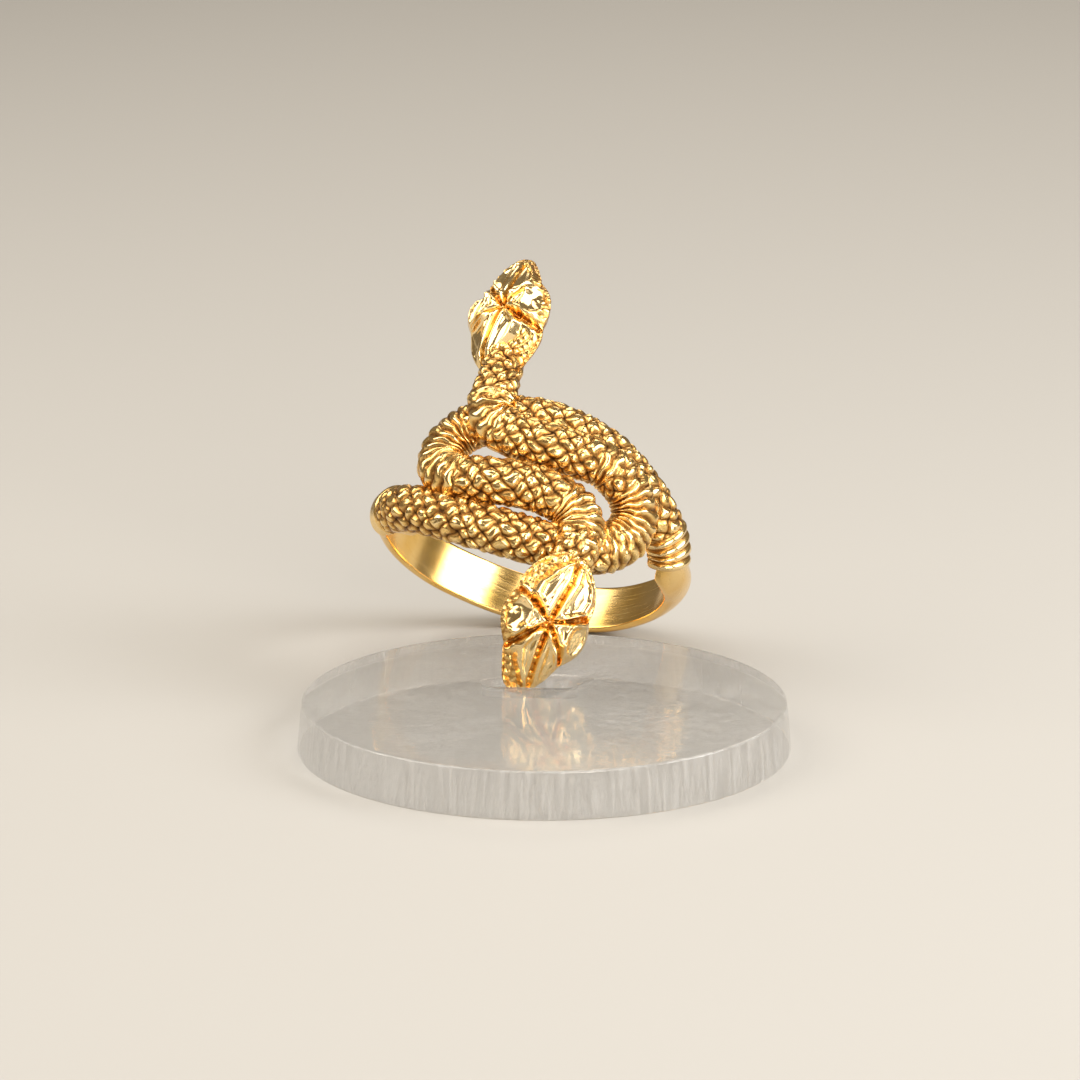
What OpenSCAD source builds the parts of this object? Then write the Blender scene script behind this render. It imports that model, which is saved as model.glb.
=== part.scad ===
// A cast gold ring of two entwined snakes on a plain band, standing by one snout in a clear disc.
// The ring is drawn about the finger's axis and then leaned back onto the disc.
// The origin is the centre of the disc's underside, with +Z up and the snakes facing -Y.

/* [Finger and band] */
// Diameter of the finger hole
finger_d = 18.2; // [17.8:0.1:18.6]
// Width of the plain band along the finger
band_w = 3.4; // [3:0.1:3.6]
// Thickness of the band at its two edges
band_edge = 0.45; // [0.35:0.05:0.6]
// Thickness of the band at the middle of its domed outside
band_dome = 1.3; // [1.1:0.05:1.6]

/* [Snake bodies] */
// Width of a snake's body
body_w = 3.3; // [3:0.1:3.5]
// Thickness of a snake's body, measured away from the finger
body_t = 2.8; // [2.6:0.1:3]
// Width of a snake where its neck meets its head
neck_w = 2.6; // [2.4:0.1:2.8]
// Scales in one turn around a body
scales_round = 7; // [6:1:9]
// Length of one scale along a body
scale_l = 1.15; // [1:0.05:1.3]
// Height of a scale above the grooves beside it
scale_h = 0.3; // [0.2:0.01:0.34]
// Length of the ribbed collar that ends each body on the band
collar_l = 2.5; // [2:0.1:3]
// Number of ribs on the collar
collar_ribs = 4; // [3:1:5]

/* [Snake heads] */
// Length of a head from its nape to its snout
head_l = 9.4; // [9:0.1:9.8]
// Widest part of a head
head_w = 5.7; // [5.3:0.1:5.9]
// Thickness of a head at its highest point
head_t = 2.9; // [2.6:0.1:3.1]
// Depth of the grooves that part the plates of a head
groove_h = 0.5; // [0.3:0.01:0.6]

/* [Stand] */
// Diameter of the clear disc's top
disc_d = 30; // [28:0.5:34]
// Thickness of the clear disc
disc_t = 3; // [2.9:0.05:3.5]
// How far the disc's wall spreads between its top and its underside
disc_flare = 0.25; // [0:0.05:0.4]
// Length of the slot that takes the snout
slot_l = 6; // [5.6:0.1:7]
// Width of the slot
slot_w = 1.5; // [1.4:0.1:2]
// Depth of the slot
slot_h = 0.7; // [0.6:0.05:1.2]

/* [Pose on the stand] */
// How far the ring leans back
lean = 43.4; // [43:0.1:44]
// How far the ring leans to the right
list = 25.8; // [25:0.1:26.5]

/* [Hidden] */
gold = "goldenrod";
clear = "lightgrey";
finger_r = finger_d / 2;

// Least height of a body above the inside of the band
body_lift = 0.14;
// Length over which a body narrows to its neck
neck_l = 5;
// Distance between two sections of the band
band_step = 0.75;
// Height of a head's rim, as a share of the way from its underside to its top
rim_share = 0.55;
// Width of the head's outline below at its widest, as a share of the head's length
outline_w = 0.607;
// How fast a head's top falls with the square of the distance from its star, ahead and behind
snout_fall = 0.075;
nape_fall = 0.02;
// How steeply its underside rises towards the chin, and towards the throat from this far behind
chin_rise = 0.12;
throat_rise = 0.1;
throat_at = 2;
// How far around a body its scales reach, as the sine where they begin to fade
scales_fade = 0.75;

// Centre of the finger hole above the disc's underside
ring_centre = [-0.1, 21.4, 8.72];

// Middle of the slot on the disc
slot_centre = [-0.9, 3.5];
slot_turn = -4;

// The band's middle line: turn about the finger from the front, place along the finger,
// width as a share of the whole band's
band_route = [
    [-48, -6.8, 0.7],
    [-58, -6.4, 0.8],
    [-70, -5.6, 0.86],
    [-82, -4.7, 0.92],
    [-96, -3.6, 0.97],
    [-111, -2.6, 1],
    [-130, -2.0, 1],
    [-150, -1.5, 1],
    [-170, -1.0, 1],
    [-190, -0.7, 1],
    [-210, -0.55, 1],
    [-230, -0.45, 1],
    [-248, -0.35, 1],
    [-265, -0.5, 1],
    [-280, -0.9, 0.97],
    [-295, -1.7, 0.92],
    [-308, -2.1, 0.86],
    [-318, -1.3, 0.75]
];

// A body's middle line: turn about the finger, place along the finger, distance from its axis
upper_route = [
    [-85, -4.65, 9.35],
    [-77, -5.2, 9.65],
    [-69, -5.75, 10.05],
    [-60, -6.25, 10.35],
    [-44, -7.05, 10.45],
    [-28, -7.55, 10.45],
    [-13, -7.6, 10.45],
    [-2, -7.35, 10.45],
    [8, -6.75, 10.5],
    [16.5, -5.8, 10.65],
    [21.6, -4.4, 10.8],
    [22, -2.9, 10.95],
    [17.8, -1.75, 11.05],
    [11, -1.1, 11.15],
    [4, -0.8, 11.2],
    [-5, -0.95, 11.2],
    [-17.8, -1.05, 11.2],
    [-27.5, -0.95, 11.35],
    [-34.5, -0.4, 11.6],
    [-36.8, 0.9, 11.7],
    [-38, 2.3, 11.5],
    [-40, 4, 11],
    [-41.5, 5.8, 10.6]
];
lower_route = [
    [50.5, -2.6, 9.95],
    [45.5, -2.0, 10.15],
    [38.5, -1.5, 10.3],
    [31, -1.05, 10.4],
    [22.8, -0.5, 10.4],
    [12.4, 0.2, 10.35],
    [0, 0.75, 10.35],
    [-15, 0.95, 10.35],
    [-25, 0.85, 10.4],
    [-33, 0.5, 10.5],
    [-41, -0.1, 10.65],
    [-47.8, -1.0, 10.75],
    [-50.5, -2.4, 10.85],
    [-48.5, -3.75, 10.95],
    [-39.5, -4.6, 11.1],
    [-25, -4.5, 11.2],
    [-11.5, -4.3, 11.2],
    [-0.5, -4.7, 11.3],
    [4.9, -5.9, 11.6],
    [5.4, -7.5, 11.8],
    [5.6, -9.2, 11.6],
    [5.6, -10.8, 11.2]
];

// Where each head's star of grooves lies: turn, place along the finger, distance, heading, nod,
// and how the grooves' middle line slants and bows
upper_head = [-44.2, 8, 12.5, 10, -5, 0.29, -0.052];
lower_head = [5.4, -13.4, 12.4, 182, 22, 0, -0.045];

// The middle line slants and bows only between these two places ahead of the star
bow_reach = [-2.9, 4.2];

// Outline of a head seen from above: angle from straight ahead of the star, share of the length
head_outline = [
    [0, 0.51],
    [10, 0.48],
    [20, 0.41],
    [31, 0.35],
    [41, 0.31],
    [50, 0.305],
    [64, 0.308],
    [78, 0.31],
    [94, 0.304],
    [108, 0.3],
    [117, 0.3],
    [127, 0.34],
    [145, 0.4],
    [158, 0.45],
    [170, 0.49],
    [180, 0.5]
];

// Plates of a head: angle of a line from the star, height of the line as a share of the groove
head_lines = [
    [0, -1],
    [8, 0.5],
    [20, 0],
    [31, 0.4],
    [41, -1],
    [50, 0.3],
    [64, 0.5],
    [78, 0.1],
    [94, 0.5],
    [108, 0.3],
    [117, -1],
    [127, 0.5],
    [145, 0],
    [163, 0.2],
    [172, 0.5],
    [180, -1]
];

// Rings of a head from its star to its rim: share of the reach, share of the grooves' depth
head_rings = [
    [0.03, 0.9],
    [0.12, 1],
    [0.3, 1],
    [0.48, 1],
    [0.66, 0.9],
    [0.82, 0.6],
    [0.94, 0.25],
    [1, 0]
];

// Rings of the underside, from the rim to the middle: share of the reach
underside_rings = [0.92, 0.7, 0.03];

function unit(v) = v / norm(v);
function about(p) = [p[2] * sin(p[0]), -p[2] * cos(p[0]), p[1]];
function outward(turn) = [sin(turn), -cos(turn), 0];

// A smooth curve through four rows of a table, between the middle two
function curve(a, b, c, d, t) =
    b + t * (c - a) / 2
    + t * t * (2 * a - 5 * b + 4 * c - d) / 2
    + t * t * t * (3 * b - a - 3 * c + d) / 2;
function between(rows, i, t) =
    curve(rows[max(i - 1, 0)], rows[i], rows[i + 1], rows[min(i + 2, len(rows) - 1)], t);
function look_up(rows, x, i = 0) =
    i > len(rows) - 3 || x < rows[i + 1][0]
        ? rows[i][1] + (rows[i + 1][1] - rows[i][1]) * (x - rows[i][0]) / (rows[i + 1][0] - rows[i][0])
        : look_up(rows, x, i + 1);

// Rows of a route, close enough together for two to a scale
function spine(route, step) = concat(
    [for (i = [0 : len(route) - 2])
        let (n = max(2, round(norm(about(route[i + 1]) - about(route[i])) / step)))
        for (j = [0 : n - 1]) between(route, i, j / n)],
    [route[len(route) - 1]]
);

// Length along a list of points up to each one
function lengths(points, i = 0, sum = 0) =
    i >= len(points) ? []
    : concat([sum], lengths(points, i + 1, sum + norm(points[min(i + 1, len(points) - 1)] - points[i])));

// Keeps a point out of the finger hole
function clear_of_finger(p, r) =
    let (d = norm([p.x, p.y]))
    d < r ? [p.x * r / d, p.y * r / d, p.z] : p;

// Triangles over rings of n points, with a fan over each end; the end points follow the rings
function skin(rings, n) = concat(
    [for (i = [0 : rings - 2]) for (k = [0 : n - 1])
        let (a = i * n + k, b = i * n + (k + 1) % n)
        each (i + k) % 2 == 0
            ? [[a, b, a + n], [b, b + n, a + n]]
            : [[a, b + n, a + n], [a, b, b + n]]],
    [for (k = [0 : n - 1]) [rings * n, (k + 1) % n, k]],
    [for (k = [0 : n - 1]) [rings * n + 1, (rings - 1) * n + k, (rings - 1) * n + (k + 1) % n]]
);
function middle(points) = [for (i = [0 : 2]) [for (p = points) p[i]] * [for (p = points) 1 / len(points)]];

module loft(rings) {
    n = len(rings[0]);
    points = concat(
        [for (r = rings) each r],
        [middle(rings[0]), middle(rings[len(rings) - 1])]
    );
    polyhedron(points, skin(len(rings), n), convexity = 8);
}

// One ring of points around a body, with every second point raised as a scale
function body_ring(p, dir, i, along, whole) =
    let (
        up = unit(outward(p[0]) - (outward(p[0]) * dir) * dir),
        side = cross(dir, up),
        n = 2 * scales_round,
        to_neck = max(0, min(1, 1 - (whole - along) / neck_l)),
        in_collar = along < collar_l,
        half_w = (body_w + (neck_w - body_w) * to_neck) / 2,
        half_t = (body_t + (neck_w - body_t) * to_neck) / 2
    )
    [for (k = [0 : n - 1])
        let (
            a = 360 * k / n,
            outer = max(0, min(1, scales_fade + sin(a))),
            raised = in_collar ? i % 2 == 1 : (i + k) % 2 == 1,
            drop = raised ? 0 : scale_h * outer
        )
        clear_of_finger(
            about(p) + (half_w - drop) * cos(a) * side + (half_t - drop) * sin(a) * up,
            finger_r + body_lift)
    ];

// The rows of a body: close ones under the collar's ribs, then two to a scale
function body_rows(route) =
    let (
        fine = spine(route, collar_l / (2 * collar_ribs)),
        coarse = spine(route, scale_l / 2),
        at_fine = lengths([for (p = fine) about(p)]),
        at_coarse = lengths([for (p = coarse) about(p)])
    )
    concat(
        [for (i = [0 : len(fine) - 1]) if (at_fine[i] < collar_l) fine[i]],
        [for (i = [0 : len(coarse) - 1]) if (at_coarse[i] > collar_l + scale_l / 4) coarse[i]]
    );

module snake_body(route) {
    rows = body_rows(route);
    spots = [for (p = rows) about(p)];
    along = lengths(spots);
    last = len(rows) - 1;
    loft([for (i = [0 : last])
        let (dir = unit(spots[min(i + 1, last)] - spots[max(i - 1, 0)]))
        body_ring(rows[i], dir, i, along[i], along[last])]);
}

// Heights of a head's top and underside at a place ahead of its star
function head_top(ahead) = -(ahead > 0 ? snout_fall : nape_fall) * ahead * ahead;
function head_under(ahead) =
    -head_t + chin_rise * max(0, ahead) + throat_rise * max(0, -ahead - throat_at);

// One ring around the star: reach as a share of the outline, depth of the grooves, and which side
function head_ring(reach, depth, side, slant, bow) =
    let (count = len(head_lines) - 1)
    [for (k = [0 : 2 * count - 1])
        let (
            line = head_lines[k <= count ? k : 2 * count - k],
            angle = k <= count ? line[0] : -line[0],
            r = reach * head_l * look_up(head_outline, line[0]),
            widen = head_w / (outline_w * head_l),
            ahead = r * cos(angle),
            far = max(bow_reach[0], min(bow_reach[1], ahead)),
            bent = side > 0 ? (slant * far + bow * far * far) * (1 - pow(reach, 4)) : 0,
            x = bent - r * sin(angle) * widen,
            top = head_top(ahead),
            under = head_under(ahead),
            edge = under + rim_share * (top - under),
            dome = (top - edge) * (1 - pow(reach, 3)),
            belly = (edge - under) * (1 - pow(reach, 4))
        )
        [x, ahead, side > 0 ? edge + dome + groove_h * depth * line[1] : edge - belly]];

module snake_head(spot) {
    loft(concat(
        [for (row = head_rings) head_ring(row[0], row[1], 1, spot[5], spot[6])],
        [for (reach = underside_rings) head_ring(reach, 0, -1, 0, 0)]
    ));
}

module placed_head(spot) {
    rotate([0, 0, spot[0]])
        translate([0, -spot[2], spot[1]])
            rotate([90, 0, 0])
                rotate([0, 0, spot[3]])
                    rotate([-spot[4], 0, 0])
                        snake_head(spot);
}

// The plain band: flat inside, domed outside, laid along its route about the finger
module band() {
    rows = spine([for (p = band_route) [p[0], p[1], finger_r, p[2]]], band_step);
    loft([for (p = rows)
        let (half = p[3] * band_w / 2)
        concat(
            [for (s = [-1, 0, 1]) about([p[0], p[1] + s * half, finger_r])],
            [for (k = [0 : 6])
                let (s = 1 - k / 3)
                about([p[0], p[1] + s * half,
                    finger_r + band_edge + (band_dome - band_edge) * (1 - s * s)])])]);
}

module on_the_stand() {
    translate(ring_centre) rotate([-lean, list, 0]) children();
}

// One casting: resize with no new size only fuses the pieces into one skin
module snake_ring() {
    color(gold)
        resize([0, 0, 0]) on_the_stand() {
            band();
            snake_body(upper_route);
            snake_body(lower_route);
            placed_head(upper_head);
            placed_head(lower_head);
        }
}

module disc_stand() {
    color(clear)
        difference() {
            cylinder(h = disc_t, r1 = disc_d / 2 + disc_flare, r2 = disc_d / 2, $fn = 96);
            translate([slot_centre.x, slot_centre.y, disc_t - slot_h])
                rotate([0, 0, slot_turn])
                    linear_extrude(slot_h + 1) {
                        square([slot_l - slot_w, slot_w], center = true);
                        for (s = [-1, 1])
                            translate([s * (slot_l - slot_w) / 2, 0])
                                circle(d = slot_w, $fn = 48);
                    }
        }
}

snake_ring();
disc_stand();
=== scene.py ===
# %% [markdown]
# # Two gold snakes on a clear disc
# This lesson dresses a small cast ring: two snakes, entwined on a plain band, stand by one snout
# in a clear acrylic disc. The solids come from CAD and stay where they are. Blender adds what a
# caster and a chaser would add: rounded scales, plates on the heads, polish and tarnish.

# %% Load the frame
import math

import bpy
import numpy as np
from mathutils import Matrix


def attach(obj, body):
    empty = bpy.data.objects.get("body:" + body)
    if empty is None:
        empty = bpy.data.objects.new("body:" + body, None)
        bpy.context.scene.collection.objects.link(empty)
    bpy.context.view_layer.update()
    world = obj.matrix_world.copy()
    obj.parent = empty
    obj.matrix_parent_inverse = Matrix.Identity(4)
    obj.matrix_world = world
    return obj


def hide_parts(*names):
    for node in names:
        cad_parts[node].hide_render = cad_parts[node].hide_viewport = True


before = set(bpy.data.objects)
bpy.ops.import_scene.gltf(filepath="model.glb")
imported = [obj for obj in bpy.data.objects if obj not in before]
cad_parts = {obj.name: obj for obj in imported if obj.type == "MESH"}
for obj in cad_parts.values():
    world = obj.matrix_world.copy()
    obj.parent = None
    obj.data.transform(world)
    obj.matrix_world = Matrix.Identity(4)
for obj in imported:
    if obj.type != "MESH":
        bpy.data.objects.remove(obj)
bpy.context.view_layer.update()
# metres in a millimetre: sizes are written in mm, and Blender counts in metres
MM = 0.001
print("nodes", sorted(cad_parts))

# %% [markdown]
# ## The ring's own axes
# A ring is easiest to draw about the finger. A point is given by its turn about the finger from
# the front, its place along the finger and its distance from the finger's axis. One rotation then
# leans the whole ring back and to one side, as it stands in the photograph.

# %% Turns about the finger
# mm: the radius of the finger hole, and where the middle of the ring stands
FINGER_R = 9.1
RING_CENTRE = np.array([-0.1, 21.4, 8.72])
# how far the ring leans back, and how far it lists to one side
LEAN_DEG = 43.4
LIST_DEG = 25.8


def turned(axis, degrees):
    """The matrix that turns points by an angle about the x, y or z axis, by the right-hand rule."""
    c = math.cos(math.radians(degrees))
    s = math.sin(math.radians(degrees))
    i, j = {"x": (1, 2), "y": (2, 0), "z": (0, 1)}[axis]
    m = np.eye(3)
    m[i, i] = m[j, j] = c
    m[i, j] = -s
    m[j, i] = s
    return m


ON_STAND = turned("y", LIST_DEG) @ turned("x", -LEAN_DEG)


def about_finger(turn, place, distance):
    """A point from its turn in degrees, place and distance: x is distance times the sine of the
    turn, y is minus distance times its cosine, and z is the place."""
    a = np.radians(turn)
    return np.stack([distance * np.sin(a), -distance * np.cos(a), place + 0 * a], -1)


def on_stand(points):
    """Points of the ring, in mm about the finger, moved onto the stand and turned into metres."""
    return (points @ ON_STAND.T + RING_CENTRE) * MM


print("finger axis", np.round(ON_STAND[:, 2], 3))

# %% [markdown]
# ## From arrays to meshes
# Every surface here is a grid of points: rows along the piece, columns around it. A grid that
# closes on itself around needs one more column of faces, and its two ends are closed by a fan
# over their middle point, so the mesh is a closed skin as a casting is.


# %% Grids and meshes
def make_mesh(name, points, quads, fans, hollow=None):
    """An object from points, four-cornered faces and triangles, shaded smooth. hollow, if given, is
    a number for each point that says how deep it lies in a groove; on the band it holds instead the
    painted shade that darkens its end."""
    mesh = bpy.data.meshes.new(name)
    mesh.from_pydata(points.tolist(), [], quads.tolist() + fans.tolist())
    mesh.polygons.foreach_set("use_smooth", np.ones(len(mesh.polygons), bool))
    if hollow is not None:
        depth = mesh.attributes.new("hollow", "FLOAT", "POINT")
        depth.data.foreach_set("value", hollow.astype(np.float32))
    mesh.update()
    obj = bpy.data.objects.new(name, mesh)
    bpy.context.scene.collection.objects.link(obj)
    return obj


def facing_out(points, quads, fans):
    """The faces, turned so that they all look out. The volume inside is a sixth of the sum, over
    triangles, of one corner dotted with the cross product of the other two. It is negative where
    the faces look in."""
    triangles = np.vstack([quads[:, :3], quads[:, [0, 2, 3]], fans])
    a, b, c = (points[triangles[:, corner]] for corner in range(3))
    volume = (a * np.cross(b, c)).sum() / 6
    return (quads, fans) if volume > 0 else (quads[:, ::-1], fans[:, ::-1])


def closed_grid(name, grid, hollow=None):
    """A closed skin over a grid of rows of points that each go round the piece. Faces join point
    j of row i to point j + 1 of row i + 1, and a fan over the middle closes each end."""
    rows, cols = grid.shape[:2]
    i, j = np.meshgrid(np.arange(rows - 1), np.arange(cols), indexing="ij")
    k = (j + 1) % cols
    quads = np.stack([i * cols + j, i * cols + k, (i + 1) * cols + k, (i + 1) * cols + j], -1)
    j = np.arange(cols)
    k = (j + 1) % cols
    first = rows * cols
    start = np.stack([first + 0 * j, k, j], -1)
    end = np.stack([first + 1 + 0 * j, first - cols + j, first - cols + k], -1)
    points = np.vstack([grid.reshape(-1, 3), grid[0].mean(0), grid[-1].mean(0)])
    if hollow is not None:
        hollow = np.append(hollow.ravel(), [hollow[0].mean(), hollow[-1].mean()])
    quads, fans = facing_out(points, quads.reshape(-1, 4), np.vstack([start, end]))
    return make_mesh(name, points, quads, fans, hollow)


def route_at(rows, t):
    """A smooth curve through the rows of a table at each t, counted in rows. Between rows b and c
    it is the Catmull-Rom cubic, which leaves b and reaches c along the lines between neighbours."""
    rows = np.asarray(rows, float)
    i = np.clip(np.floor(t).astype(int), 0, len(rows) - 2)
    f = (t - i)[:, None]
    a = rows[np.maximum(i - 1, 0)]
    b = rows[i]
    c = rows[i + 1]
    d = rows[np.minimum(i + 2, len(rows) - 1)]
    return (b + f * (c - a) / 2 + f**2 * (2 * a - 5 * b + 4 * c - d) / 2
            + f**3 * (3 * b - a - 3 * c + d) / 2)


# how many points of a route are measured before it is cut into equal steps
ROUTE_POINTS = 4000


def even_route(rows, step):
    """The curve's rows and its points at equal steps in mm, with the length up to each. The
    length is the sum of the distances between points that lie close together."""
    t = np.linspace(0, len(rows) - 1, ROUTE_POINTS)
    fine = route_at(rows, t)
    spots = about_finger(fine[:, 0], fine[:, 1], fine[:, 2])
    along = np.append(0, np.cumsum(np.linalg.norm(np.diff(spots, axis=0), axis=1)))
    s = np.linspace(0, along[-1], int(along[-1] / step) + 1)
    fine = route_at(rows, np.interp(s, along, t))
    return fine, about_finger(fine[:, 0], fine[:, 1], fine[:, 2]), s


def bump(x, width):
    """A soft hill of height 1 at 0: minus the square of x over the width, as a power of e."""
    return np.exp(-((x / width) ** 2))


def ramp(x, low, high):
    """0 below low, 1 above high, and a smooth step between: 3 t squared less 2 t cubed."""
    t = np.clip((x - low) / (high - low), 0, 1)
    return t * t * (3 - 2 * t)


# %% [markdown]
# ## The band
# The band is the plain part that the finger feels: flat and polished inside, domed outside, about
# 3.4 mm wide, narrowing where it passes under the snakes. A goldsmith would bend it from half
# round wire. Here a section is carried along the same route as in the CAD model. Its corners are
# rounded a little, because a worn edge is what catches the light.

# %% Band
# mm: width, thickness at the edges and in the middle, and rounding of the corners
BAND_W = 3.4
BAND_EDGE = 0.45
BAND_DOME = 1.3
EDGE_ROUND = 0.16
# mm between rows of points, and points across each face of the section
BAND_STEP = 0.2
BAND_POINTS = 28
# over this length in mm, each end of the band rises this many mm into the body above it
END_L = 2.4
END_SINK = 0.8
# the last mm of the band, beside the right collar, are darkened a little by painted shade, kept on
# the band as its hollow, which the polished gold does not read
PAINTED_SHADE_END_L = 6
PAINTED_SHADE_END = 0.25
# turn in degrees, place in mm, and width as a share of BAND_W
BAND_ROUTE = [
    [-48, -6.8, 0.7], [-58, -6.4, 0.8], [-70, -5.6, 0.86], [-82, -4.7, 0.92], [-96, -3.6, 0.97],
    [-111, -2.6, 1], [-130, -2.0, 1], [-150, -1.5, 1], [-170, -1.0, 1], [-190, -0.7, 1],
    [-210, -0.55, 1], [-230, -0.45, 1], [-248, -0.35, 1], [-265, -0.5, 1], [-280, -0.9, 0.97],
    [-295, -1.7, 0.92], [-308, -2.1, 0.86], [-318, -1.3, 0.75],
]


def band_section(count):
    """The band's section as shares of its half width, from -1 to 1, and heights in mm above the
    finger hole. The inside is flat, the outside rises with 1 less the square of the share, and
    near the edges both are drawn in by a quarter circle."""
    out = np.cos(np.linspace(0, math.pi, count))
    dome = BAND_EDGE + (BAND_DOME - BAND_EDGE) * (1 - out**2)
    back = -out
    share = np.append(out, back)
    height = np.append(dome, 0 * back)
    gap = np.clip(1 - (1 - np.abs(share)) * BAND_W / 2 / EDGE_ROUND, 0, 1)
    draw_in = EDGE_ROUND * (1 - np.sqrt(1 - gap**2))
    return share, height + np.append(-draw_in[:count], draw_in[count:])


def make_band():
    """The section carried along the route. Close to each end it rises away from the finger, so
    its flat inside runs out into the body that lies over it."""
    route = [[turn, place, FINGER_R, width] for turn, place, width in BAND_ROUTE]
    rows, _, along = even_route(route, BAND_STEP)
    share, height = band_section(BAND_POINTS)
    place = rows[:, 1:2] + share * rows[:, 3:4] * BAND_W / 2
    turn = rows[:, 0:1] + 0 * place
    rise = END_SINK * (1 - ramp(along, 0, END_L) + ramp(along, along[-1] - END_L, along[-1]))
    grid = about_finger(turn, place, FINGER_R + height + rise[:, None])
    # painted shade over the band's last mm, rising to its full value at the end; the band's hollow
    # holds only this, and no depth in a groove
    painted_end_shade = PAINTED_SHADE_END * ramp(along, along[-1] - PAINTED_SHADE_END_L, along[-1])
    hollow = painted_end_shade[:, None] + 0 * place
    return closed_grid("band", on_stand(grid), hollow)


band = make_band()
print("band", len(band.data.polygons), "faces")

# %% [markdown]
# ## The snakes' bodies
# Each body is a thick cord, 3.3 mm wide, wound in a flat S over the front of the finger. It is
# covered with scales in a crossed lattice of grooves, as a chaser would cut them: seven round the
# body, and each 1.15 mm long. The skin is an ellipse carried along the route. On it, lines that
# run round both ways make diamonds, and every diamond is a rounded pillow. Where a body bends,
# ribs take their place, and four more make the collar at its end. The depth below the tops is
# kept on the mesh, because dirt and tarnish gather there.

# %% Body sizes
# mm: width and thickness of a body, then the round neck's width and the length it narrows over
BODY_W = 3.3
BODY_T = 2.8
NECK_W = 2.6
NECK_L = 5.0
# scales round a body, and the length and height of one in mm
SCALES_ROUND = 7
SCALE_L = 1.15
SCALE_H = 0.34
# length of the collar in mm, and its ribs
COLLAR_L = 2.5
COLLAR_RIBS = 4
# least height in mm of a body above the finger hole
BODY_LIFT = 0.14
# mm between rows of points, and points round a body
BODY_STEP = 0.07
BODY_POINTS = 132
# ribs set in where the route curls by the first number, which is 1 over the radius in mm, and
# from the second on they take up this share of the height
RIB_CURLS = (0.16, 0.3)
RIB_SHARE = 0.92
# how dark the plain underside is, where a groove's floor is 1
UNDER_DARK = 0.6
# turn in degrees, then place along the finger and distance from its axis in mm
UPPER_ROUTE = [
    [-85, -4.65, 9.35], [-77, -5.2, 9.65], [-69, -5.75, 10.05], [-60, -6.25, 10.35],
    [-44, -7.05, 10.45], [-28, -7.55, 10.45], [-13, -7.6, 10.45], [-2, -7.35, 10.45],
    [8, -6.75, 10.5], [16.5, -5.8, 10.65], [21.6, -4.4, 10.8], [22, -2.9, 10.95],
    [17.8, -1.75, 11.05], [11, -1.1, 11.15], [4, -0.8, 11.2], [-5, -0.95, 11.2],
    [-17.8, -1.05, 11.2], [-27.5, -0.95, 11.35], [-34.5, -0.4, 11.6], [-36.8, 0.9, 11.7],
    [-38, 2.3, 11.5], [-40, 4, 11.0], [-41.5, 5.8, 10.6],
]
LOWER_ROUTE = [
    [50.5, -2.6, 9.95], [45.5, -2.0, 10.15], [38.5, -1.5, 10.3], [31, -1.05, 10.4],
    [22.8, -0.5, 10.4], [12.4, 0.2, 10.35], [0, 0.75, 10.35], [-15, 0.95, 10.35],
    [-25, 0.85, 10.4], [-33, 0.5, 10.5], [-41, -0.1, 10.65], [-47.8, -1.0, 10.75],
    [-50.5, -2.4, 10.85], [-48.5, -3.75, 10.95], [-39.5, -4.6, 11.1], [-25, -4.5, 11.2],
    [-11.5, -4.3, 11.2], [-0.5, -4.7, 11.3], [4.9, -5.9, 11.6], [5.4, -7.5, 11.8],
    [5.6, -9.2, 11.6], [5.6, -10.8, 11.2],
]


# %% Scales
def scale_height(s, a, bend):
    """Height of the scales, from 0 in a groove to 1 on a scale, at length s in mm and angle a in
    turns. Two families of slanting grooves part the skin into diamonds: a pillow is 1 less the
    square of the distance from its middle along each slant, to the power 0.6, which rounds its
    top and keeps its grooves narrow. Each scale has its own size, and slow waves push the lattice
    about, so no two are alike. Where the body bends, each row of diamonds becomes two ribs."""
    u = s / SCALE_L + 0.1 * np.sin(1.7 * s + 5 * a) + 0.07 * np.sin(4.3 * s - 13 * a)
    w = SCALES_ROUND * a + 0.12 * np.sin(2.3 * s + 9 * a) + 0.07 * np.sin(5.1 * s + 29 * a)
    p = 2 * ((u + w) % 1) - 1
    q = 2 * ((u - w) % 1) - 1
    pillow = ((1 - p**2) * (1 - q**2)) ** 0.6
    size = 0.9 + 0.1 * np.sin(2.1 * np.floor(u + w) + 3.7 * np.floor(u - w))
    split = 0.15 * bump(p - q, 0.2) * bump(p + q, 0.8)
    scales = size * pillow - split
    across = 2 * s / SCALE_L + 0.1 * np.sin(2 * math.pi * w) + 0.12 * np.sin(5 * a + 2 * s)
    rib = np.abs(np.sin(math.pi * across)) ** 0.7 * (0.85 + 0.15 * np.sin(31 * a + 3 * s))
    return np.clip(scales + bend * (rib - scales), 0, 1)


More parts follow.
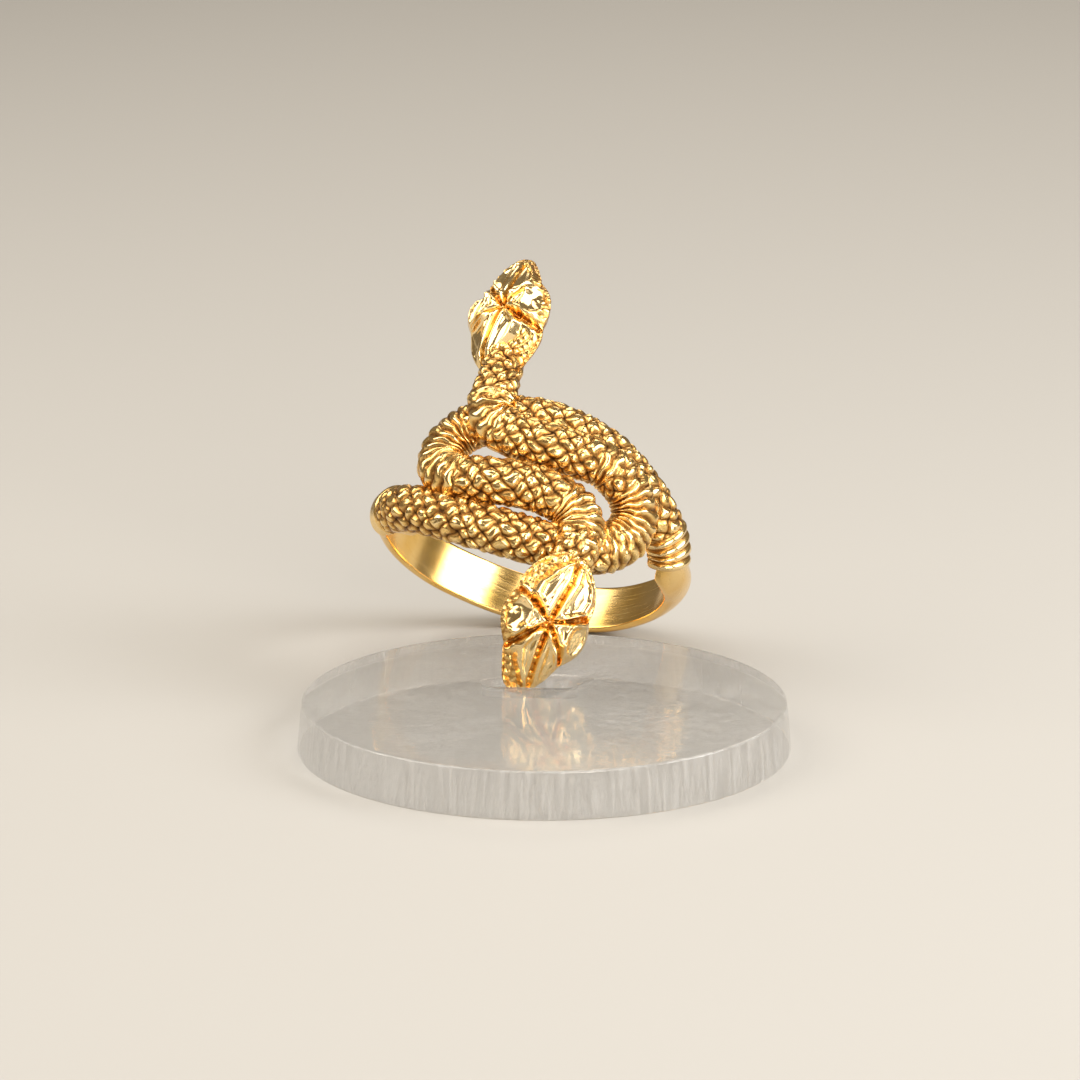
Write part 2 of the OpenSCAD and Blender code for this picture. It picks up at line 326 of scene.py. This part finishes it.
def make_body(name, route):
    """A body along its route, as rows of points on an ellipse. Up is the way out from the
    finger, less its share along the route, and side is square to both. At an angle, a point
    lies to the side by half the width times the cosine, and up by half the thickness times
    the sine. Both halves are first cut down by the scales' height times 1 less how high the
    skin is there, so the tops keep the full size. Scales fade out on the underside, which the
    finger would feel, and no point comes nearer to the finger than BODY_LIFT."""
    rows, spots, s = even_route(route, BODY_STEP)
    ahead = np.gradient(spots, axis=0)
    ahead /= np.linalg.norm(ahead, axis=1)[:, None]
    out = about_finger(rows[:, 0], 0 * s, np.ones(len(s)))
    up = out - (out * ahead).sum(1)[:, None] * ahead
    up /= np.linalg.norm(up, axis=1)[:, None]
    side = np.cross(ahead, up)
    to_neck = np.clip(1 - (s[-1] - s) / NECK_L, 0, 1)[:, None]
    half_w = (BODY_W + (NECK_W - BODY_W) * to_neck) / 2
    half_t = (BODY_T + (NECK_W - BODY_T) * to_neck) / 2
    a = np.linspace(0, 1, BODY_POINTS, endpoint=False)[None, :]
    length = s[:, None]
    ribs = np.abs(np.sin(math.pi * COLLAR_RIBS * length / COLLAR_L)) ** 0.6
    in_collar = 1 - ramp(length, COLLAR_L - 0.1, COLLAR_L + 0.2)
    curl = np.linalg.norm(np.gradient(ahead, s, axis=0), axis=1)[:, None]
    bend = RIB_SHARE * ramp(curl, *RIB_CURLS)
    scales = scale_height(length, a, bend)
    high = scales + (ribs - scales) * in_collar
    sine = np.sin(2 * math.pi * a)
    shown = np.clip(0.95 + sine, 0, 1)
    drop = SCALE_H * shown * (1 - high)
    across = (half_w - drop) * np.cos(2 * math.pi * a)
    rise = (half_t - drop) * sine
    grid = (spots[:, None, :] + across[..., None] * side[:, None, :]
            + rise[..., None] * up[:, None, :])
    distance = np.linalg.norm(grid[..., :2], axis=-1, keepdims=True)
    inner = FINGER_R + BODY_LIFT
    grid[..., :2] *= np.maximum(distance, inner) / distance
    hollow = (1 - high) * shown + UNDER_DARK * (1 - shown)
    return closed_grid(name, on_stand(grid), hollow)


upper_body = make_body("upper_snake_body", UPPER_ROUTE)
lower_body = make_body("lower_snake_body", LOWER_ROUTE)

# %% [markdown]
# ## The heads
# Seen from above, a head is a long leaf with a shallow notch before each cheek. Six grooves run
# out from a star near its middle: one down the snout, one down the nape and two to each side.
# They part it into six plates with raised rims: two on the snout, two at the nape, and a cheek on
# each side with a hollow and an eye. What lies outside the plates is granular, most of all on
# the right, because the plates reach further out on the left. The surface is laid out as a wheel
# about the star: how far out, and at what angle.

# %% Head sizes
# mm: length, width and thickness of a head
HEAD_L = 9.4
HEAD_W = 5.7
HEAD_T = 2.9
# how high the outline lies between the underside, at 0, and the top, at 1
RIM_SHARE = 0.55
# angle from straight ahead, then distance from the star as a share of HEAD_L, and the width
# that this outline would have, as a share of HEAD_L again
HEAD_OUTLINE = np.array([
    [0, 0.51], [10, 0.48], [20, 0.41], [31, 0.35], [41, 0.31], [50, 0.305], [64, 0.308],
    [78, 0.31], [94, 0.304], [108, 0.3], [117, 0.3], [127, 0.34], [145, 0.4], [158, 0.45],
    [170, 0.49], [180, 0.5]])
OUTLINE_W = 0.607
# points round a head, and rows of points on its top and on its underside
HEAD_POINTS = 320
TOP_ROWS = 110
UNDER_ROWS = 40
# angle of the two grooves on each side, from straight ahead
SNOUT_GROOVE = 41
NAPE_GROOVE = 117
# mm: depth of a groove, half widths of the middle and side ones, then how far beyond that the
# rims stand, and their width and height
GROOVE_H = 0.5
MIDDLE_HALF = 0.13
SIDE_HALF = 0.11
RIM_AWAY = 0.22
RIM_W = 0.16
RIM_H = 0.15
# mm: height of the rim round a plate, of the step down outside it and of the dish within it
PLATE_RIM_H = 0.26
PLATE_STEP = 0.36
PLATE_DISH = 0.12
# mm: middle, half sizes and depth of the hollow in a cheek, middle, size and height of the eye,
# and height of the brow
CHEEK_SPOT = (2.1, 0.35)
CHEEK_HALF = (0.72, 1.15)
CHEEK_H = 0.24
EYE_SPOT = (1.45, 0.95)
EYE_W = 0.22
EYE_H = 0.3
BROW_H = 0.12
# the plates of the snout and the nape: place in mm ahead of the star, and half width in mm
SNOUT_PLATE = np.array([[0.2, 0.5], [1.2, 1.05], [2.1, 1.3], [3.0, 1.1], [3.9, 0.6], [4.5, 0.1]])
NAPE_PLATE = np.array([
    [-4.4, 0.1], [-3.9, 0.75], [-3.2, 1.35], [-2.2, 1.75], [-1.4, 1.7], [-0.6, 0.9], [0, 0.4]])
# turn, place along the finger, distance, heading and nod of each head's star, then how its
# middle line slants and bows, and how deep its left notch is filed: no two heads that are chased
# by hand are quite alike
UPPER_HEAD = (-44.2, 8, 12.5, 10, -5, 0.29, -0.052, 0.12)
LOWER_HEAD = (5.4, -13.4, 12.4, 182, 22, 0.0, -0.045, 0.0)
# angle of that notch, and of the cheek behind it
NOTCH_AT = 52
CHEEK_AT = 88
# on both heads the plates reach further out on the left, and the granular border is on the right
LEFT_SPREAD = 0.14


# %% Head relief
def groove_and_rims(off, along, half):
    """A groove along a line, as a height in mm: a valley on the line between two soft rims.
    Both fade in from the star, where along is 0."""
    near = ramp(along, -0.05, 0.25)
    rims = bump(np.abs(off) - half - RIM_AWAY, RIM_W) * ramp(along, 0.3, 0.9)
    return near * (RIM_H * rims - GROOVE_H * bump(off, half))


def head_relief(x, y, slant, bow):
    """Height in mm of the plates above or below the plain dome. The grooves are valleys along
    rays from the star. Outside the border of a plate the surface steps down, and a soft hill
    just inside that border is its rim. A cheek has an oval hollow with a rim, an eye and a
    short slanting brow. The middle line leaves straight ahead by slant times y plus bow times
    the square of y, and stays as it is beyond both ends of the plates."""
    far = np.clip(y, -2.9, 4.2)
    x = x - slant * far - bow * far**2
    out = np.abs(x)
    high = groove_and_rims(x, np.abs(y), MIDDLE_HALF)
    for angle in (SNOUT_GROOVE, NAPE_GROOVE):
        turn = math.radians(angle)
        along = out * math.sin(turn) + y * math.cos(turn)
        across = out * math.cos(turn) - y * math.sin(turn)
        high = high + groove_and_rims(across, along, SIDE_HALF)
    bearing = np.degrees(np.arctan2(out, y))
    for table, inside in ((SNOUT_PLATE, ramp(-bearing, -SNOUT_GROOVE - 2, -SNOUT_GROOVE + 2)),
                          (NAPE_PLATE, ramp(bearing, NAPE_GROOVE - 2, NAPE_GROOVE + 2))):
        edge = out - np.interp(y, *table.T) * (1 + LEFT_SPREAD * (x < 0))
        border = PLATE_RIM_H * bump(edge + 0.18, 0.15) - PLATE_STEP * ramp(edge, -0.05, 0.25)
        high = high + inside * border
        high = high - inside * PLATE_DISH * ramp(-edge, 0.3, 0.7) * ramp(out, 0.45, 0.8)
    hollow = np.hypot((out - CHEEK_SPOT[0]) / CHEEK_HALF[0], (y - CHEEK_SPOT[1]) / CHEEK_HALF[1])
    high = high + CHEEK_H * bump(hollow - 1, 0.2) - CHEEK_H * ramp(-hollow, -0.9, -0.4)
    brow = bump(out * 0.5 - y * 0.2 - 0.6, 0.1) * ramp(out, 0.5, 0.8) * ramp(-out, -1.4, -1.1)
    eye = bump(np.hypot(out - EYE_SPOT[0], y - EYE_SPOT[1]), EYE_W)
    return high + BROW_H * brow + EYE_H * eye


def head_points(slant, bow, notch):
    """Points of a head in its own axes, x across, y ahead and z up, and how hollow each one is.
    The dome falls to the rim with 1 less the cube of the reach, and the underside bulges with 1
    less its 4th power. The top bows down with the square of y, more on the snout than behind.
    The notch cuts into the outline on the left and fills it out a little at the cheek, and the
    outline is then blurred, because a filed edge has no sharp corners."""
    angle = np.linspace(0, 2 * math.pi, HEAD_POINTS, endpoint=False)
    left = np.degrees(angle)
    away = np.minimum(left, 360 - left)
    limit = HEAD_L * np.interp(away, HEAD_OUTLINE[:, 0], HEAD_OUTLINE[:, 1])
    limit = limit * (1 - notch * (bump(left - NOTCH_AT, 9) - 0.5 * bump(left - CHEEK_AT, 16)))
    blur = np.array([1, 4, 8, 10, 8, 4, 1]) / 36
    limit = np.convolve(np.concatenate([limit[-3:], limit, limit[:3]]), blur, "valid")

    def layer(reach, upper):
        """The top or the underside at each reach, a share of the way from star to outline."""
        reach = reach[:, None]
        x = -reach * limit * np.sin(angle) * HEAD_W / (OUTLINE_W * HEAD_L)
        y = reach * limit * np.cos(angle)
        top = np.where(y > 0, -0.075 * y**2, -0.02 * y**2)
        under = -HEAD_T + 0.12 * np.maximum(0, y) + 0.1 * np.maximum(0, -y - 2)
        edge = under + RIM_SHARE * (top - under)
        one_way = np.sin(6.5 * x + 3 * y + 0.8 * np.sin(2.3 * y))
        other_way = np.sin(6 * y - 4 * x + 1 + 0.8 * np.sin(2.9 * x + y))
        grains = np.abs(one_way * other_way) ** 0.7
        if not upper:
            fall = (edge - under) * (1 - reach**4)
            return x, y, edge - fall, 0.75 - 0.35 * grains
        plates = head_relief(x, y, slant, bow)
        low = ramp(-plates, 0.17, 0.4)
        fade = 1 - ramp(reach, 0.88, 1.0)
        side = ramp(reach, 0.78, 0.9) * (0.3 + 0.7 * ramp(x, -1, 1))
        z = edge + (top - edge) * (1 - reach**3) + fade * plates
        rough = np.maximum(low, side)
        z = z + 0.13 * (grains - 0.6) * rough
        return x, y, z, 0.62 * rough * (1 - 0.6 * grains)

    upper = layer(np.linspace(0.01, 1, TOP_ROWS), True)
    lower = layer(np.linspace(0.98, 0.02, UNDER_ROWS), False)
    x, y, z, hollow = (np.vstack(pair) for pair in zip(upper, lower))
    return np.stack([x, y, z], -1), hollow


def make_head(name, turn, place, distance, heading, nod, slant, bow, notch):
    """A head on the ring. It nods, swings to its heading, stands up so that its top looks out
    from the finger, and goes round the finger to its turn. The star comes to its spot."""
    grid, hollow = head_points(slant, bow, notch)
    lie = turned("z", turn) @ turned("x", 90) @ turned("z", heading) @ turned("x", -nod)
    spot = turned("z", turn) @ np.array([0, -distance, place])
    return closed_grid(name, on_stand(grid @ lie.T + spot), hollow)


upper_head = make_head("upper_snake_head", *UPPER_HEAD)
lower_head = make_head("lower_snake_head", *LOWER_HEAD)
print("heads", len(upper_head.data.polygons), len(lower_head.data.polygons), "faces")

# %% [markdown]
# ## The disc
# The stand is a disc of clear acrylic, 30 mm across and 3 mm thick, cut from sheet and polished
# at the edge. Its profile is spun round: a small rounding at both rims catches the light, and the
# wall spreads a little towards the floor. A slot that takes the snout is cut with a Boolean.

# %% Disc
# mm: radius and thickness, how far the foot spreads, and the rounding of the rims
DISC_R = 15.0
DISC_T = 3.0
DISC_FLARE = 0.25
DISC_ROUND = 0.12
# points round the disc and round the slot, and points along the rounding of a rim
DISC_POINTS = 288
SLOT_POINTS = 64
ROUND_POINTS = 7
# middle of the slot in mm, its turn in degrees, then its length, width and depth in mm
SLOT_CENTRE = (-0.9, 3.5)
SLOT_TURN = -4
SLOT_L = 6.0
SLOT_W = 1.5
SLOT_H = 0.7


def disc_profile():
    """Radius and height from the middle of the underside, out, up the wall and in to the top's
    middle. A rim's rounding is a quarter circle. Rings of points on the flat faces lie at even
    shares of the radius."""
    a = np.linspace(0, math.pi / 2, ROUND_POINTS)
    flat = np.linspace(0.4, 0.98, 6)
    foot = DISC_R + DISC_FLARE
    r = np.concatenate([
        foot * flat, foot - DISC_ROUND + DISC_ROUND * np.sin(a),
        DISC_R - DISC_ROUND + DISC_ROUND * np.cos(a), DISC_R * flat[::-1]])
    z = np.concatenate([
        0 * flat, DISC_ROUND * (1 - np.cos(a)),
        DISC_T - DISC_ROUND + DISC_ROUND * np.sin(a), DISC_T + 0 * flat])
    return r, z


def make_disc():
    """The profile spun round: x is the radius times the cosine, y the radius times the sine."""
    r, z = disc_profile()
    a = np.linspace(0, 2 * math.pi, DISC_POINTS, endpoint=False)
    grid = np.stack([r[:, None] * np.cos(a), r[:, None] * np.sin(a), z[:, None] + 0 * a], -1)
    return closed_grid("clear_disc", grid * MM)


def make_slot():
    """A prism with round ends: its outline is a circle whose halves are pulled apart."""
    a = np.linspace(0, 2 * math.pi, SLOT_POINTS, endpoint=False)
    pull = np.sign(np.cos(a) + 1e-9) * (SLOT_L - SLOT_W) / 2
    flat = np.stack([pull + SLOT_W / 2 * np.cos(a), SLOT_W / 2 * np.sin(a), 0 * a], -1)
    flat = flat @ turned("z", SLOT_TURN).T + np.array([*SLOT_CENTRE, 0])
    heights = np.array([DISC_T - SLOT_H, DISC_T + 1])
    grid = flat[None] + heights[:, None, None] * np.array([0, 0, 1])
    return closed_grid("slot", grid * MM)


disc = make_disc()
slot = make_slot()
cut = disc.modifiers.new("slot", "BOOLEAN")
cut.object = slot
cut.operation = "DIFFERENCE"
cut.solver = "EXACT"
depsgraph = bpy.context.evaluated_depsgraph_get()
cut_mesh = bpy.data.meshes.new_from_object(disc.evaluated_get(depsgraph))
disc.modifiers.clear()
disc.data = cut_mesh
bpy.data.objects.remove(slot)
print("disc", len(disc.data.polygons), "faces")

# %% [markdown]
# ## Colours and nodes
# Colours are written as they look on a screen, in hex, and turned to the linear light that the
# renderer adds up. One small function adds any node with its settings and its links.


# %% Node helper
def linear(hex_colour):
    """Linear colour from sRGB hex: the value over 12.92 when dark, and otherwise the value plus
    0.055, over 1.055, to the power 2.4."""
    c = np.array([int(hex_colour[i:i + 2], 16) / 255 for i in (1, 3, 5)])
    c = np.where(c <= 0.04045, c / 12.92, ((c + 0.055) / 1.055) ** 2.4)
    return (*c.tolist(), 1.0)


def add(tree, kind, links=None, inputs=None, stops=(), **settings):
    """Adds a node: settings are its own fields, inputs are values by socket name or number,
    links are outputs of other nodes by socket name or number, and stops are the places and
    colours of a colour ramp, in order."""
    node = tree.nodes.new(kind)
    for key, value in settings.items():
        setattr(node, key, value)
    for key, value in (inputs or {}).items():
        node.inputs[key].default_value = value
    for key, output in (links or {}).items():
        tree.links.new(output, node.inputs[key])
    if stops:
        colours = node.color_ramp.elements
        colours[0].position, colours[0].color = stops[0]
        colours[1].position, colours[1].color = stops[-1]
        for place, colour in stops[1:-1]:
            colours.new(place).color = colour
    return node


def new_material(name):
    """A material with an empty node tree, and that tree."""
    material = bpy.data.materials.new(name)
    material.use_nodes = True
    material.node_tree.nodes.clear()
    return material, material.node_tree


def from_to(old, new):
    """Inputs by which old values, from the first to the second, become new ones: the new first
    plus the new span times the share of the old span, held at both ends."""
    return dict(zip(("From Min", "From Max", "To Min", "To Max"), (*old, *new)))


# %% [markdown]
# ## Cast and chased gold
# The ring is yellow gold of about 14 carat, cast in one piece and then polished by hand. What
# stands proud is bright and nearly white where it meets the light; what lies in a groove keeps
# the reddish skin of the casting and a little dirt. The mesh says how deep each point is, and a
# noise a few tenths of a millimetre wide breaks the border, so the polish looks worn in.

# %% Snake gold
# width in mm of the noise that breaks the border, and of the pits of the casting
GRAIN_MM = 0.22
PIT_MM = 0.3


def snake_gold():
    """Gold by depth. Dirt is the depth plus half the noise less 0.25, held between 0 and 1, so
    noise of 0.5 changes nothing. The more dirt, the browner and the rougher."""
    material, tree = new_material("cast_chased_gold")
    where = add(tree, "ShaderNodeTexCoord")
    depth = add(tree, "ShaderNodeAttribute", attribute_name="hollow")
    grain = add(tree, "ShaderNodeTexNoise", {"Vector": where.outputs["Object"]},
                {"Scale": 1 / (GRAIN_MM * MM), "Detail": 4.0, "Roughness": 0.6})
    pits = add(tree, "ShaderNodeTexVoronoi", {"Vector": where.outputs["Object"]},
               {"Scale": 1 / (PIT_MM * MM)})
    worn = add(tree, "ShaderNodeMath", {0: grain.outputs["Fac"]}, {1: 0.5, 2: -0.25},
               operation="MULTIPLY_ADD")
    dirt = add(tree, "ShaderNodeMath", {0: depth.outputs["Fac"], 1: worn.outputs[0]},
               operation="ADD", use_clamp=True)
    colour = add(tree, "ShaderNodeValToRGB", {"Fac": dirt.outputs[0]}, stops=[
        (0.0, linear("#FFE2A8")), (0.3, linear("#F4CB7E")), (0.6, linear("#AE7D40")),
        (0.93, linear("#3E2814"))])
    rough = add(tree, "ShaderNodeMapRange", {"Value": dirt.outputs[0]},
                from_to((0.1, 0.9), (0.17, 0.45)))
    bumps = add(tree, "ShaderNodeBump", {"Height": pits.outputs["Distance"]},
                {"Strength": 0.1, "Distance": 0.02 * MM})
    skin = add(tree, "ShaderNodeBsdfPrincipled",
               {"Base Color": colour.outputs["Color"], "Roughness": rough.outputs["Result"],
                "Normal": bumps.outputs["Normal"]}, {"Metallic": 1.0})
    add(tree, "ShaderNodeOutputMaterial", {"Surface": skin.outputs["BSDF"]})
    return material


# %% [markdown]
# ## Polished gold
# The band is the same metal, polished smooth and then worn: fine scratches run along it. They are
# long noise, pressed thin across the band, so light stretches across them.


# %% Band gold
def band_gold():
    """Gold with fine scratches: noise 3 mm long and 0.07 mm across, turned with the ring, sets
    the roughness and a shallow bump. Real scratches are finer, and these are as coarse as they
    need to be to show. Soft clouds, 2.5 mm wide, shift the colour a little."""
    material, tree = new_material("polished_gold")
    where = add(tree, "ShaderNodeTexCoord")
    turn = add(tree, "ShaderNodeMapping", {"Vector": where.outputs["Object"]},
               {"Rotation": (math.radians(-LEAN_DEG), math.radians(LIST_DEG), 0),
                "Scale": (3 * MM, 3 * MM, 0.07 * MM)}, vector_type="TEXTURE")
    lines = add(tree, "ShaderNodeTexNoise", {"Vector": turn.outputs["Vector"]},
                {"Scale": 1.0, "Detail": 5.0, "Roughness": 0.65})
    cloud = add(tree, "ShaderNodeTexNoise", {"Vector": where.outputs["Object"]},
                {"Scale": 1 / (2.5 * MM), "Detail": 3.0})
    colour = add(tree, "ShaderNodeValToRGB", {"Fac": cloud.outputs["Fac"]}, stops=[
        (0.3, linear("#F3C468")), (0.7, linear("#FFDA92"))])
    rough = add(tree, "ShaderNodeMapRange", {"Value": lines.outputs["Fac"]},
                from_to((0.3, 0.7), (0.12, 0.3)))
    scratches = add(tree, "ShaderNodeBump", {"Height": lines.outputs["Fac"]},
                    {"Strength": 0.2, "Distance": 0.01 * MM})
    skin = add(tree, "ShaderNodeBsdfPrincipled",
               {"Base Color": colour.outputs["Color"], "Roughness": rough.outputs["Result"],
                "Normal": scratches.outputs["Normal"]}, {"Metallic": 1.0})
    add(tree, "ShaderNodeOutputMaterial", {"Surface": skin.outputs["BSDF"]})
    return material


# %% [markdown]
# ## Clear acrylic
# Acrylic bends light a little less than glass. Its polished faces are clear, but a stand that is
# handled picks up hairline scratches and a haze, most of all on top, and the edge keeps fine
# upright marks from the cutter. Refraction alone comes out nearly black, because little of the
# lamps' light finds its way through the disc to the floor and back. So part of the disc is simply
# see-through, by its alpha: about half of a clear face, less where it is scuffed, more of the
# underside, and none of the rim round the top.


# %% Disc acrylic
def streaks(tree, where, size_mm):
    """Noise drawn out to a size along each axis."""
    drawn = add(tree, "ShaderNodeMapping", {"Vector": where},
                {"Scale": tuple(side * MM for side in size_mm)}, vector_type="TEXTURE")
    noise = add(tree, "ShaderNodeTexNoise", {"Vector": drawn.outputs["Vector"]},
                {"Scale": 1.0, "Detail": 5.0, "Roughness": 0.7})
    return noise.outputs["Fac"]


# mm: how far inside the edge the wall's marks begin and are full
WALL_DEPTHS = (0.16, 0.1)
# mm: how far below the top its clear rim begins and is full
RIM_DEPTHS = (0.14, 0.1)
# mm: heights at which the see-through underside begins to end and has ended
UNDERSIDE_HEIGHTS = (0.02, 0.08)
# mm: drawn-out sizes of the hairlines on top and of the upright marks on the wall. Real ones are
# finer, and these are as coarse as they need to be to show
SCUFF_SIZE = (0.6, 0.25, 9)
CUT_SIZE = (0.3, 0.3, 9)
# transmission, roughness and alpha, each without marks and where the marks are thickest
CLEARNESS = (0.97, 0.7)
ROUGHNESS = (0.04, 0.25)
COVER = (0.52, 0.75)


def disc_acrylic():
    """Clear where there are no marks. Marks are scuffs on the faces, more of them near the slot,
    and cuts on the wall; the more marks, the rougher, the less clear and the less see-through.
    Alpha is the cover by marks, cut to 0.3 of that underneath, but 1 on the top's rim."""
    material, tree = new_material("clear_cast_acrylic")
    where = add(tree, "ShaderNodeTexCoord").outputs["Object"]
    patch = add(tree, "ShaderNodeTexNoise", {"Vector": where},
                {"Scale": 1 / (5 * MM), "Detail": 2.0}).outputs["Fac"]
    slot_at = add(tree, "ShaderNodeVectorMath", {0: where},
                  {1: (SLOT_CENTRE[0] * MM, SLOT_CENTRE[1] * MM, DISC_T * MM)},
                  operation="DISTANCE").outputs["Value"]
    handled = add(tree, "ShaderNodeMapRange", {"Value": slot_at},
                  from_to((2 * MM, 6 * MM), (0.1, 0.0))).outputs["Result"]
    uneven = add(tree, "ShaderNodeMapRange", {"Value": patch},
                 from_to((0.3, 0.7), (0.85, 1.15))).outputs["Result"]
    scuffs = add(tree, "ShaderNodeMath",
                 {0: streaks(tree, where, SCUFF_SIZE), 1: uneven, 2: handled},
                 operation="MULTIPLY_ADD").outputs[0]
    on_faces = add(tree, "ShaderNodeMapRange", {"Value": scuffs},
                   from_to((0.46, 0.82), (0, 1))).outputs["Result"]
    on_wall = add(tree, "ShaderNodeMapRange", {"Value": streaks(tree, where, CUT_SIZE)},
                  from_to((0.4, 0.75), (0, 1))).outputs["Result"]
    flat = add(tree, "ShaderNodeVectorMath", {0: where}, {1: (1, 1, 0)}, operation="MULTIPLY")
    radius = add(tree, "ShaderNodeVectorMath", {0: flat.outputs["Vector"]},
                 operation="LENGTH").outputs["Value"]
    height = add(tree, "ShaderNodeSeparateXYZ", {"Vector": where}).outputs["Z"]
    wall = add(tree, "ShaderNodeMapRange", {"Value": radius},
               from_to([(DISC_R - d) * MM for d in WALL_DEPTHS], (0, 1))).outputs["Result"]
    marks = add(tree, "ShaderNodeMix", {0: wall, 2: on_faces, 3: on_wall}).outputs[0]
    clear, rough, cover = (
        add(tree, "ShaderNodeMapRange", {"Value": marks}, from_to((0, 1), new)).outputs["Result"]
        for new in (CLEARNESS, ROUGHNESS, COVER))
    above = add(tree, "ShaderNodeMapRange", {"Value": height},
                from_to([h * MM for h in UNDERSIDE_HEIGHTS], (0.3, 1))).outputs["Result"]
    top = add(tree, "ShaderNodeMapRange", {"Value": height},
              from_to([(DISC_T - d) * MM for d in RIM_DEPTHS], (0, 1))).outputs["Result"]
    rim = add(tree, "ShaderNodeMath", {0: wall, 1: top}, operation="MULTIPLY").outputs[0]
    lower = add(tree, "ShaderNodeMath", {0: cover, 1: above}, operation="MULTIPLY").outputs[0]
    alpha = add(tree, "ShaderNodeMath", {0: lower, 1: rim}, operation="MAXIMUM").outputs[0]
    dents = add(tree, "ShaderNodeBump", {"Height": marks},
                {"Strength": 0.12, "Distance": 0.006 * MM}).outputs["Normal"]
    skin = add(tree, "ShaderNodeBsdfPrincipled",
               {"Roughness": rough, "Normal": dents, "Transmission Weight": clear,
                "Alpha": alpha}, {"Base Color": linear("#FFFFFF"), "IOR": 1.49})
    add(tree, "ShaderNodeOutputMaterial", {"Surface": skin.outputs["BSDF"]})
    return material


# %% Give each piece its finish
chased = snake_gold()
polished = band_gold()
acrylic = disc_acrylic()
GOLD_PIECES = [upper_body, lower_body, upper_head, lower_head, band]
for piece in GOLD_PIECES:
    piece.data.materials.append(polished if piece is band else chased)
    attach(piece, "root")
    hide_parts("snake_ring")
disc.data.materials.clear()
disc.data.materials.append(acrylic)
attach(disc, "root")
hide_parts("disc_stand")
print("pieces", [p.name for p in GOLD_PIECES], disc.name)

# %% [markdown]
# ## Studio
# Small bright things are lit by large soft lamps, because polished metal shows what stands round
# it. Here six square lamps stand over a pale floor. The strongest is wide, and high in front on
# the right. A small one stands low before the ring. A wide one on the left, one on the right, one
# above and a weak one behind give the gold its bright and dark bands.


# %% Floor and lights
# half width of the floor in metres
FLOOR_HALF = 2.5


def make_floor():
    """A wide matt square under the disc. It belongs to the stage and not to the object."""
    corners = FLOOR_HALF * np.array([[-1, -1, 0], [1, -1, 0], [1, 1, 0], [-1, 1, 0]])
    floor = make_mesh("floor", corners, np.array([[0, 1, 2, 3]]), np.zeros((0, 3), int))
    material, tree = new_material("pale_floor")
    paint = add(tree, "ShaderNodeBsdfPrincipled", None,
                {"Base Color": linear("#B4B2AE"), "Roughness": 0.7})
    add(tree, "ShaderNodeOutputMaterial", {"Surface": paint.outputs["BSDF"]})
    floor.data.materials.append(material)


def make_lamp(name, place_mm, aim_mm, size_mm, watts, colour):
    """A square lamp at a place in mm, turned to look at a point. A lamp looks down until it is
    turned. It is tipped up by the angle whose tangent is the level distance over the drop, and
    then swung round to face the point."""
    lamp = bpy.data.lights.new(name, "AREA")
    lamp.size = size_mm * MM
    lamp.energy = watts
    lamp.color = linear(colour)[:3]
    obj = bpy.data.objects.new(name, lamp)
    place = np.array(place_mm, float)
    obj.location = place * MM
    way = np.array(aim_mm, float) - place
    flat = math.hypot(way[0], way[1])
    obj.rotation_euler = (math.atan2(flat, -way[2]), 0, math.atan2(-way[0], way[1]))
    bpy.context.scene.collection.objects.link(obj)


make_floor()
# the point in mm that every lamp looks at, and the strength of the light from all round
AIM = (0, 18, 10)
WORLD_STRENGTH = 0.3
make_lamp("front_lamp", (200, -500, 210), AIM, 330, 2.4, "#FFF8EE")
make_lamp("low_lamp", (70, -280, 50), AIM, 80, 0.1, "#FFF8EE")
make_lamp("left_lamp", (-220, -10, 250), AIM, 280, 1.0, "#FFF8EE")
make_lamp("right_lamp", (240, -50, 160), AIM, 190, 0.75, "#FFFFFF")
make_lamp("top_lamp", (20, -80, 380), AIM, 180, 0.4, "#FFF8EE")
make_lamp("back_lamp", (60, 260, 220), AIM, 150, 0.2, "#FFF6E8")
world = bpy.data.worlds.new("studio")
bpy.context.scene.world = world
world.use_nodes = True
sky = world.node_tree.nodes["Background"]
sky.inputs["Color"].default_value = linear("#D2C3AC")
sky.inputs["Strength"].default_value = WORLD_STRENGTH
bpy.context.scene.view_settings.view_transform = "Standard"

# %% [markdown]
# ## Camera
# The photograph was taken from a little above, from far away with a long lens. The lens in mm is
# the width of the sensor times the focal length in pixels, over the width of the image in pixels.

# %% Camera
# how far the camera looks down, and where it stands in mm
PITCH_DEG = 15.23
CAMERA_MM = (-0.26, -402.07, 122.71)
SENSOR_MM = 36.0
FOCAL_PX = 6792
IMAGE_PX = 1080
camera_data = bpy.data.cameras.new("camera")
camera_data.sensor_width = SENSOR_MM
camera_data.lens = SENSOR_MM * FOCAL_PX / IMAGE_PX
camera_data.clip_start = 0.01
camera_data.clip_end = 20.0
camera = bpy.data.objects.new("camera", camera_data)
camera.location = [side * MM for side in CAMERA_MM]
camera.rotation_euler = (math.radians(90 - PITCH_DEG), 0, 0)
bpy.context.scene.collection.objects.link(camera)
bpy.context.scene.camera = camera

# %% Update the scene
bpy.context.view_layer.update()
